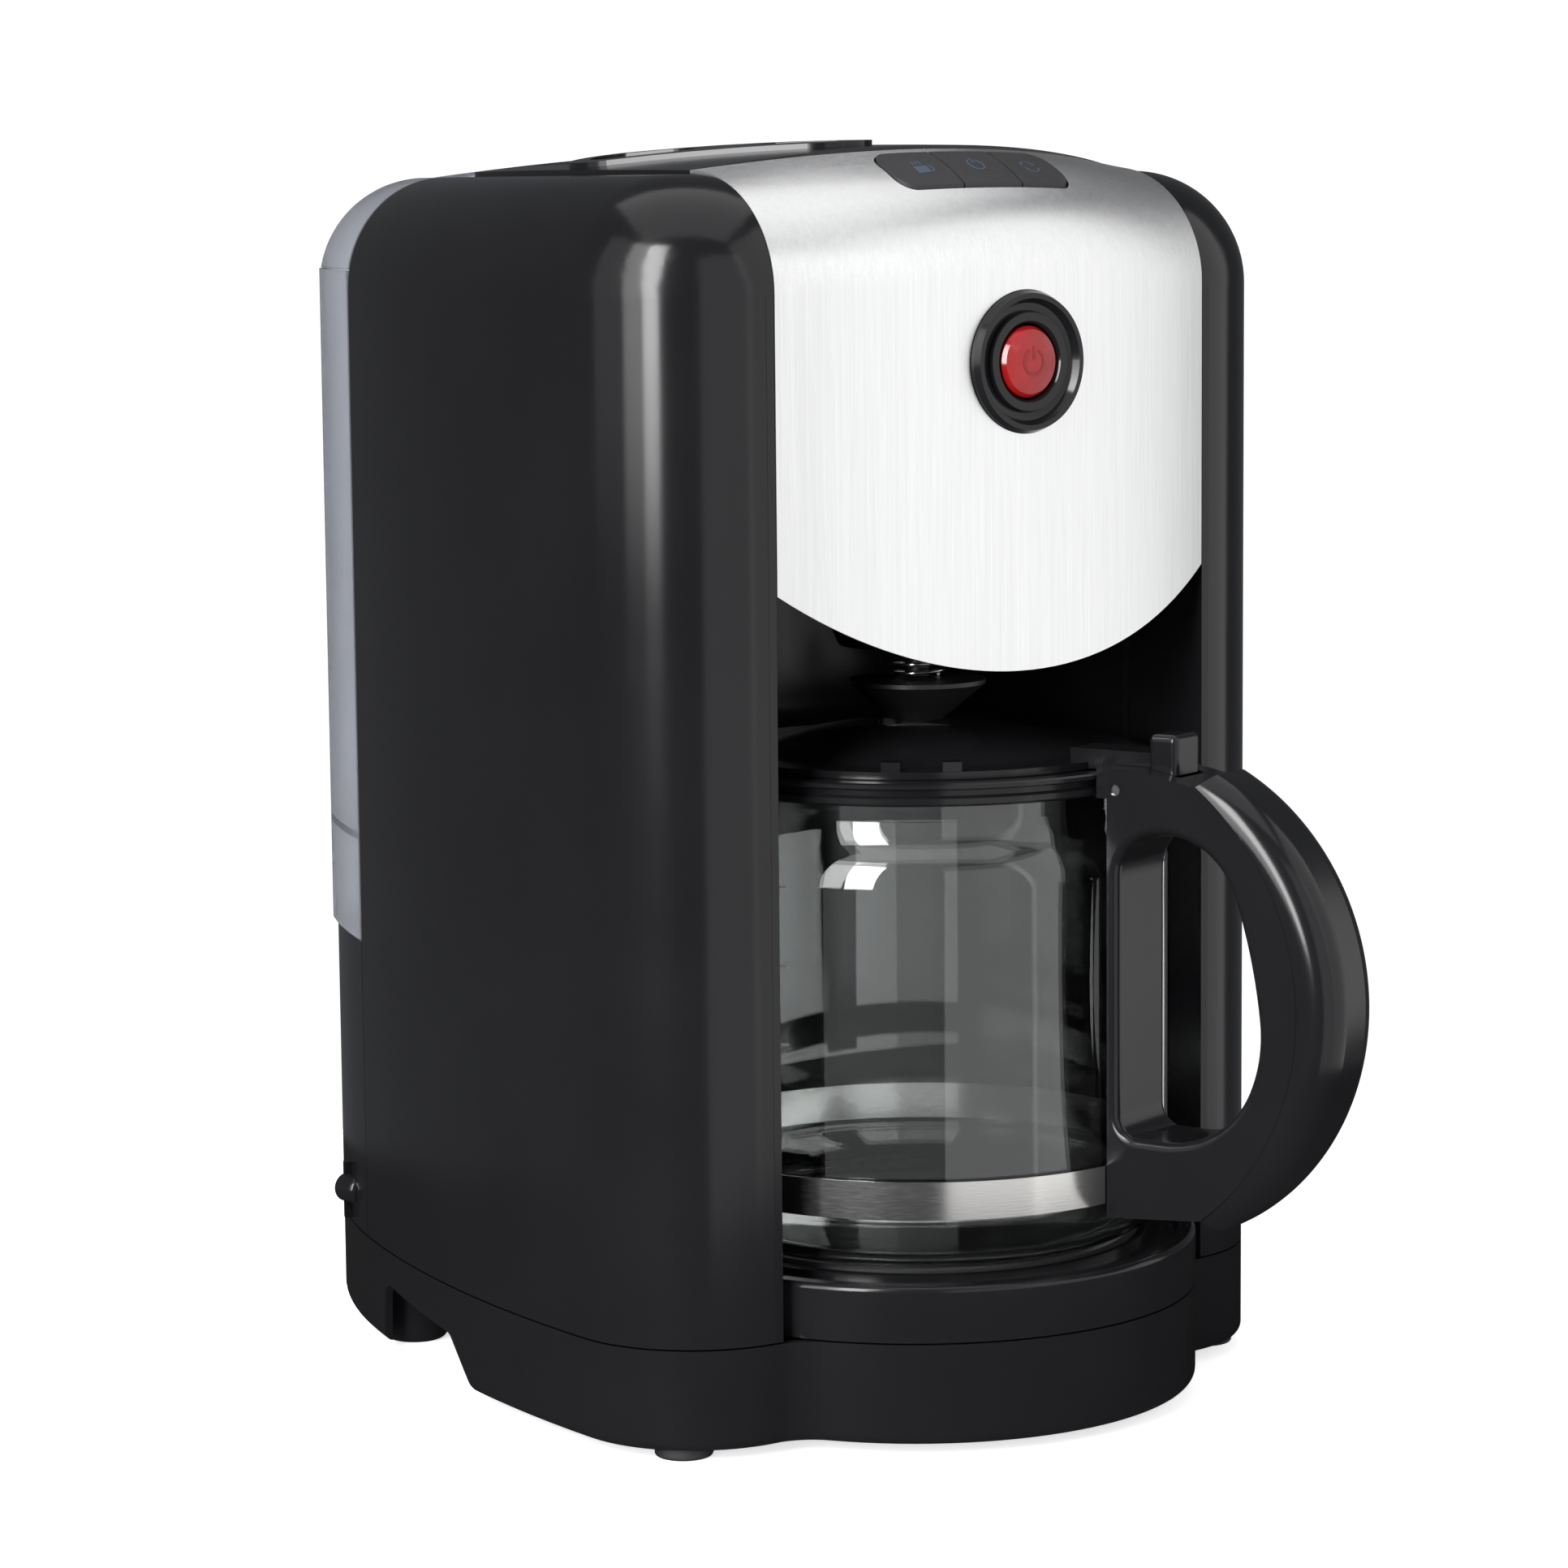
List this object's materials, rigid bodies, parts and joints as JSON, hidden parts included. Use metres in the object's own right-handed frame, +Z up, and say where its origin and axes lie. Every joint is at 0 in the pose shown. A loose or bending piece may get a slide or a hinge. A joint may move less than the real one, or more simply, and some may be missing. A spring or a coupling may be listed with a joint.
{
  "type": "drip coffee maker",
  "caption": "Drip coffee maker with curved brushed front, round power button, soft keys, hinged lid, lift-out rear water tank and a glass jug on a hot plate.",
  "frame": {"origin": "middle of the footprint on the worktop, the jug and its handle included", "axes": "+Z up, the front with the jug faces -Y, +X is the right side seen from the front"},
  "size_m": [0.229, 0.3559, 0.3514],
  "materials": {
    "gloss_black": "glossy moulded",
    "satin_black": "satin moulded",
    "brushed_steel": "upright brushing",
    "polished_steel": "polished",
    "plate_coating": "satin non-stick coating",
    "rubber_black": "matte",
    "silicone_white": "matte translucent",
    "tank_clear": "clear moulded",
    "jug_glass": "clear glass",
    "button_red": "translucent red",
    "aluminium": "cast",
    "ivory_plastic": "moulded",
    "board_green": "coated board"
  },
  "bodies": {
    "machine": {"base_shell": "gloss_black", "left_housing": "gloss_black", "right_housing": "gloss_black", "rear_housing": "gloss_black", "button_bezel": "gloss_black", "pedestal_ring": "gloss_black", "filter_holder": "gloss_black", "cord_gland": "gloss_black", "bay_liner": "satin_black", "lid_deck": "satin_black", "panel_carrier": "satin_black", "back_plate": "satin_black", "bottom_plate": "satin_black", "key_frame": "satin_black", "tank_socket": "satin_black", "shower_head": "satin_black", "filter_basket": "satin_black", "front_panel": "brushed_steel", "housing_screws": "polished_steel", "hot_plate": "plate_coating", "rubber_feet": "rubber_black", "plate_seal": "rubber_black", "inlet_hose": "rubber_black", "riser_tube": "silicone_white", "valve_seal": "silicone_white", "heating_element": "aluminium", "heater_clamp": "aluminium", "check_valve": "ivory_plastic", "thermostat": "ivory_plastic", "thermal_fuses": "ivory_plastic", "power_switch": "ivory_plastic", "control_board": "board_green"},
    "top_lid": {"top_lid": "gloss_black", "lid_pins": "polished_steel"},
    "power_button": {"power_button": "button_red"},
    "key_cup": {"key_cup": "rubber_black"},
    "key_power": {"key_power": "rubber_black"},
    "key_timer": {"key_timer": "rubber_black"},
    "tank": {"water_tank": "tank_clear", "tank_lid_pin": "polished_steel"},
    "tank_lid": {"tank_lid": "tank_clear"},
    "tank_valve": {"tank_valve": "ivory_plastic", "tank_valve_seal": "silicone_white"},
    "drip_valve": {"drip_valve": "satin_black", "valve_spring": "polished_steel"},
    "jug": {"jug_glass": "jug_glass", "jug_band": "polished_steel", "jug_collar": "gloss_black", "jug_handle": "gloss_black", "handle_cover": "gloss_black", "handle_screw": "polished_steel", "jug_lid_pin": "polished_steel"},
    "jug_lid": {"jug_lid": "gloss_black"}
  },
  "joints": [
    {"name": "jug_slide", "type": "slide", "parent": "machine", "child": "jug", "axis": [0, -1, 0], "range_m": [0, 0.27]},
    {"name": "jug_lid_hinge", "type": "hinge", "parent": "jug", "child": "jug_lid", "pos_m": [0.01998, -0.11079, 0.177], "axis": [0.9613, 0.2756, 0], "range_deg": [0, 1.8]},
    {"name": "top_lid_hinge", "type": "hinge", "parent": "machine", "child": "top_lid", "pos_m": [0, 0.0964, 0.3394], "axis": [-1, 0, 0], "range_deg": [0, 75]},
    {"name": "tank_lift", "type": "slide", "parent": "machine", "child": "tank", "axis": [0, 0, 1], "range_m": [0, 0.235]},
    {"name": "tank_lid_hinge", "type": "hinge", "parent": "tank", "child": "tank_lid", "pos_m": [0, 0.17651, 0.316], "axis": [-1, 0, 0], "range_deg": [0, 95]},
    {"name": "tank_valve_slide", "type": "slide", "parent": "tank", "child": "tank_valve", "axis": [0, 0, 1], "range_m": [0, 0.004]},
    {"name": "drip_valve_slide", "type": "slide", "parent": "machine", "child": "drip_valve", "axis": [0, 0, 1], "range_m": [0, 0.003], "stiffness_N_per_m": 100, "springref_m": -0.015, "deforming": ["valve_spring"]},
    {"name": "power_button_press", "type": "slide", "parent": "machine", "child": "power_button", "axis": [0, 1, 0], "range_m": [0, 0.002], "stiffness_N_per_m": 400, "springref_m": -0.001},
    {"name": "key_cup_press", "type": "slide", "parent": "machine", "child": "key_cup", "axis": [0, 0, -1], "range_m": [0, 0.001], "stiffness_N_per_m": 500, "springref_m": -0.001},
    {"name": "key_power_press", "type": "slide", "parent": "machine", "child": "key_power", "axis": [0, 0, -1], "range_m": [0, 0.001], "stiffness_N_per_m": 500, "springref_m": -0.001},
    {"name": "key_timer_press", "type": "slide", "parent": "machine", "child": "key_timer", "axis": [0, 0, -1], "range_m": [0, 0.001], "stiffness_N_per_m": 500, "springref_m": -0.001}
  ]
}
